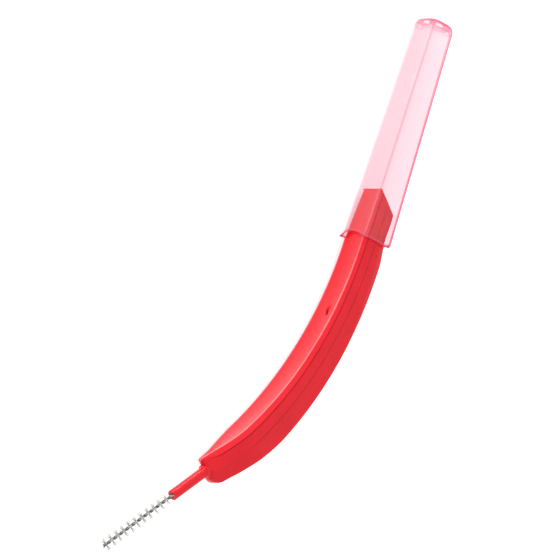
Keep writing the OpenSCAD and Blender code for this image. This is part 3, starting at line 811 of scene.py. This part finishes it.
class OBJECT_OT_interdental_cap(bpy.types.Operator):
    """Builds the tapered clear cap with its arched mouth, lip and vents"""

    bl_idname = "object.interdental_cap"
    bl_label = "Build Cap"

    def execute(self, context):
        c, mouth = context.scene.interdental_cap, Spine(context.scene).mouth
        points, stations, around, tint = cap_surface(c, mouth)
        faces = [f[::-1] for f in loft_faces(stations, around)]
        piece = finish_piece("travel_cap", points, faces, clear_plastic(c), "cap", ["cap"])
        write_attribute(piece.data, "tint", tint)
        cut_vents(piece, c, mouth)
        return {"FINISHED"}


def twist_angle(b, u):
    """Angle of the twist at distances u from the fold: it eases in over a quarter turn, then is steady."""
    ease = b.pitch / 4
    return 2 * math.pi / b.pitch * np.where(u < ease, u * u / (2 * ease), u - ease / 2)


def brush_frame(spine, b):
    """Origin at the wire's fold, and the axes that the twist is measured in, as rows."""
    origin = spine.stem_end - spine.nose * b.wire_set
    along = spine.nose
    across = -math.cos(b.phase) * UP - math.sin(b.phase) * np.cross(along, UP)
    return origin, np.stack([across, np.cross(along, across), along])


def wire_surface(b, spine, around=20, per_turn=44):
    """One wire folded double and twisted: a circle swept down one helix, round the fold, and up the other."""
    origin, axes = brush_frame(spine, b)
    leg = b.wire_radius + b.pinch_gap / 2
    total = b.wire_length + b.wire_set
    u = np.linspace(0, total, int(total / b.pitch * per_turn))
    w = twist_angle(b, u)
    out = np.stack([np.cos(w), np.sin(w), 0 * w], -1)
    rise = u[:, None] * UP
    w = np.linspace(0, math.pi, 14)[1:-1]
    bend_out = np.stack([np.cos(w), 0 * w, -np.sin(w)], -1)
    path = np.concatenate([(leg * out + rise)[::-1], leg * bend_out, rise - leg * out])
    out = np.concatenate([out[::-1], bend_out, -out])
    tangent = np.gradient(path, axis=0)
    tangent /= np.linalg.norm(tangent, axis=1, keepdims=True)
    out -= tangent * (out * tangent).sum(1, keepdims=True)
    out /= np.linalg.norm(out, axis=1, keepdims=True)
    side = np.cross(tangent, out)
    # Each cut end keeps a small rounded edge: two more rings, and a narrower last one.
    ends, shrink = np.array([0.0, 0.02, 0.045]) * MM, np.array([0.8, 0.95, 1.0])
    pick = np.concatenate([[0, 0], np.arange(len(path)), [-1, -1]])
    shift = np.concatenate([ends, np.zeros(len(path) - 2), -ends[::-1]])
    radius = b.wire_radius * np.concatenate([shrink, np.ones(len(path) - 2), shrink[::-1]])
    path, out, side = path[pick] + tangent[pick] * shift[:, None], out[pick], side[pick]
    w = np.linspace(0, 2 * math.pi, around, endpoint=False)[:, None]
    circle = np.cos(w) * out[:, None] + np.sin(w) * side[:, None]
    rings = path[:, None] + radius[:, None, None] * circle
    local = np.concatenate([rings.reshape(-1, 3), path[:1], path[-1:]])
    return origin + local @ axes, len(path), around


def bright_steel(b):
    """Stainless steel wire, drawn and bright: fine scratches break up its reflections."""
    material, tree, shader = new_material("Stainless wire, drawn")
    rough = map_range(tree, noise(tree, 9000.0, 3.0), 0.15, 0.32)
    set_inputs(tree, shader, {"Roughness": rough, "Base Color": to_linear(b.steel), "Metallic": 1.0})
    return material


class OBJECT_OT_interdental_wire(bpy.types.Operator):
    """Builds the folded and twisted wire"""

    bl_idname = "object.interdental_wire"
    bl_label = "Build Wire"

    def execute(self, context):
        b = context.scene.interdental_brush
        points, stations, around = wire_surface(b, Spine(context.scene))
        faces = loft_faces(stations, around)
        finish_piece("twisted_wire", points, faces, bright_steel(b), "brush", ["wire"])
        return {"FINISHED"}


def bundle_surface(b, spine, index, count):
    """Filaments of one bundle: each runs to its tip in four bent lengths, and is square in section.

    Its root lies at a share of the bundle's length along the wire, and points across the layer there;
    its tip is moved along the wire by the fan, and a little by chance, and its path bends like a bow.
    """
    first_seed, stations, sides = 31, 5, 4
    # The length of wire that a tuft takes at the tip, and how far from the axis the filaments start.
    tuft, start = 0.42 * MM, 0.05 * MM
    chance = np.random.default_rng(first_seed + index)
    origin, axes = brush_frame(spine, b)
    step = (b.wire_length - b.tip_bare - tuft) / (count - 0.5)
    mid = b.wire_set + b.wire_length - b.tip_bare - tuft / 2 - index * step
    share = index / (count - 1)
    reach = b.brush_radius + (b.brush_radius_stem - b.brush_radius) * share ** 3
    # The bundles beside the stem are thinner.
    many = int(round(b.ends * (1 - 0.45 * share ** 5)))
    t, side = np.meshgrid((np.arange(many) + 0.5) / many - 0.5, [-1.0, 1.0])
    t, side = t.ravel(), side.ravel()
    total = len(t)
    root_u = mid + b.root_spread * t
    w = twist_angle(b, root_u) + chance.normal(0, 0.12, total)
    tip_u = mid + b.tip_spread * t + chance.normal(0, 0.06 * MM, total)
    # The filaments at a tuft's two edges are shorter, so its outline is round.
    length_out = reach * (1 - 0.32 * (2 * t) ** 2) * (1 - 0.05 * chance.random(total))
    bow = chance.normal(0, 0.035 * MM, total)
    outward = side[:, None] * np.stack([-np.sin(w), np.cos(w), 0 * w], -1)
    across = np.stack([np.cos(w), np.sin(w), 0 * w], -1)
    lift = chance.uniform(-1, 1, total) * 0.012 * MM
    v = np.linspace(0, 1, stations)
    out = start + (length_out[:, None] - start) * v
    aside = lift[:, None] + bow[:, None] * np.sin(math.pi / 2 * v) ** 2
    rise = root_u[:, None] + (tip_u - root_u)[:, None] * v ** 1.6
    path = outward[:, None] * out[:, :, None] + across[:, None] * aside[:, :, None] + UP * rise[:, :, None]
    # A filament is thinner at its tip.
    half = b.filament / 2 * np.array([1, 1, 1, 0.95, 0.7])[:, None, None]
    corner = np.array([[1, 0], [0, 1], [-1, 0], [0, -1]], float)
    square = corner[:, :1] * across[:, None, None] + corner[:, 1:] * UP
    ring = path[:, :, None] + half * square
    # Rings turn left-handed on one side of the wire, so their order is reversed there.
    ring = np.where((side > 0)[:, None, None, None], ring, ring[:, :, ::-1])
    points = origin + ring.reshape(-1, 3) @ axes
    k = np.arange(sides)
    base = np.arange(total)[:, None, None] * stations * sides
    rows = base + np.arange(stations - 1)[:, None] * sides
    a, c = rows + k, rows + (k + 1) % sides
    quads = np.stack([a, c, c + sides, a + sides], -1).reshape(-1, 4)
    first, last = base[:, 0] + k[::-1], base[:, 0] + (stations - 1) * sides + k
    return points, np.concatenate([quads, first, last]).tolist()


def clear_nylon(b):
    """Nylon monofilament, undyed: milky, a little see-through, with a waxy gloss."""
    material, tree, shader = new_material("Nylon monofilament, undyed")
    base = to_linear(b.nylon)
    milky = mix_colours(tree, noise(tree, 1500.0, 1.0), scaled(base, 0.9), scaled(base, 1.05))
    set_inputs(tree, shader, {"Base Color": milky, "Roughness": 0.4, "IOR": 1.53, "Alpha": 0.4})
    return material


class OBJECT_OT_interdental_filaments(bpy.types.Operator):
    """Builds the bundles of nylon filaments that follow the twist"""

    bl_idname = "object.interdental_filaments"
    bl_label = "Build Filaments"

    def execute(self, context):
        b, spine = context.scene.interdental_brush, Spine(context.scene)
        nylon = clear_nylon(b)
        for index, node in enumerate(BUNDLE_NODES):
            points, faces = bundle_surface(b, spine, index, len(BUNDLE_NODES))
            finish_piece(f"filaments_{index + 1:02d}", points, faces, nylon, "brush", [node])
        return {"FINISHED"}


def add_lamp(name, place, size, power):
    """A round area lamp that faces the origin."""
    data = bpy.data.lights.new(name, "AREA")
    data.shape, data.size, data.energy = "DISK", size, power
    place = Vector(place)
    turned = place.to_track_quat("Z", "Y").to_matrix().to_4x4()
    add_object(name, data).matrix_world = Matrix.Translation(place) @ turned


def add_camera(g):
    """A long lens from the photograph's side, rolled as the photographed object is turned."""
    az, el, roll = g.azimuth, g.elevation, g.roll
    back = Vector((math.cos(el) * math.cos(az), math.cos(el) * math.sin(az), math.sin(el)))
    level = Vector((-math.sin(az), math.cos(az), 0))
    upright = back.cross(level)
    right = math.cos(roll) * level + math.sin(roll) * upright
    up = -math.sin(roll) * level + math.cos(roll) * upright
    data = bpy.data.cameras.new("camera")
    data.sensor_width = 36.0
    data.lens = data.sensor_width * g.distance / g.view_width
    data.clip_start, data.clip_end = 0.1, 40.0
    camera = add_object("camera", data)
    turned = Matrix((right, up, back)).transposed().to_4x4()
    camera.matrix_world = Matrix.Translation(Vector(g.aim) + back * g.distance) @ turned
    bpy.context.scene.camera = camera


def white_floor(g):
    """Matt white paper that glows for camera, glossy and see-through rays; shadows still darken it."""
    material, tree, shader = new_material("Matt white paper")
    set_inputs(tree, shader, {"Base Color": to_linear(g.floor), "Roughness": 0.9})
    path = add_node(tree, "ShaderNodeLightPath").outputs
    seen = combine(tree, "MAXIMUM", path["Is Camera Ray"], path["Is Glossy Ray"])
    seen = combine(tree, "MAXIMUM", seen, path["Is Transmission Ray"])
    glow = add_node(tree, "ShaderNodeEmission", {"Strength": combine(tree, "MULTIPLY", seen, 0.6)})
    both = add_node(tree, "ShaderNodeAddShader", {0: shader.outputs["BSDF"], 1: glow.outputs["Emission"]})
    set_surface(tree, both.outputs["Shader"])
    return material


def white_world():
    """White surroundings: full white to the camera, and a little less as light."""
    world = bpy.data.worlds.new("studio")
    world.use_nodes = True
    tree = world.node_tree
    background = next(n for n in tree.nodes if n.type == "BACKGROUND")
    seen = add_node(tree, "ShaderNodeLightPath").outputs["Is Camera Ray"]
    set_inputs(tree, background, {"Strength": map_range(tree, seen, 0.78, 1.0), "Color": (1, 1, 1, 1)})
    return world


class OBJECT_OT_interdental_stage(bpy.types.Operator):
    """Adds the floor, the lamps, the world and the camera"""

    bl_idname = "object.interdental_stage"
    bl_label = "Build Stage"

    def execute(self, context):
        g = context.scene.interdental_stage
        half = 1.5
        corners = [(-half, -half, 0), (half, -half, 0), (half, half, 0), (-half, half, 0)]
        mesh = bpy.data.meshes.new("floor")
        mesh.from_pydata(corners, [], [(0, 1, 2, 3)])
        mesh.materials.append(white_floor(g))
        floor = add_object("floor", mesh)
        for lamp in LAMPS:
            add_lamp(*lamp)
        context.scene.world = white_world()
        add_camera(g)
        context.scene.view_settings.view_transform = "Standard"
        return {"FINISHED"}


class VIEW3D_PT_interdental(bpy.types.Panel):
    """Lists the builders of the interdental brush"""

    bl_label = "Interdental Brush"
    bl_space_type = "VIEW_3D"
    bl_region_type = "UI"
    bl_category = "Interdental Brush"

    def draw(self, context):
        for operator in OPERATORS:
            self.layout.operator(operator.bl_idname)
        for group in SETTINGS:
            box = self.layout.box()
            settings = getattr(context.scene, group)
            for name in settings.bl_rna.properties.keys():
                if name not in ("rna_type", "name"):
                    box.prop(settings, name)


OPERATORS = (
    OBJECT_OT_interdental_handle,
    OBJECT_OT_interdental_cap,
    OBJECT_OT_interdental_wire,
    OBJECT_OT_interdental_filaments,
    OBJECT_OT_interdental_stage,
)
SETTINGS = {
    "interdental_handle": HandleSettings,
    "interdental_cap": CapSettings,
    "interdental_brush": BrushSettings,
    "interdental_stage": StageSettings,
}
CLASSES = tuple(SETTINGS.values()) + OPERATORS + (VIEW3D_PT_interdental,)


def register():
    for item in CLASSES:
        bpy.utils.register_class(item)
    for name, group in SETTINGS.items():
        setattr(bpy.types.Scene, name, PointerProperty(type=group))


def unregister():
    for name in SETTINGS:
        delattr(bpy.types.Scene, name)
    for item in reversed(CLASSES):
        bpy.utils.unregister_class(item)


def main():
    register()
    bpy.ops.object.interdental_handle()
    bpy.ops.object.interdental_cap()
    bpy.ops.object.interdental_wire()
    bpy.ops.object.interdental_filaments()
    bpy.ops.object.interdental_stage()


if __name__ == "__main__":
    main()
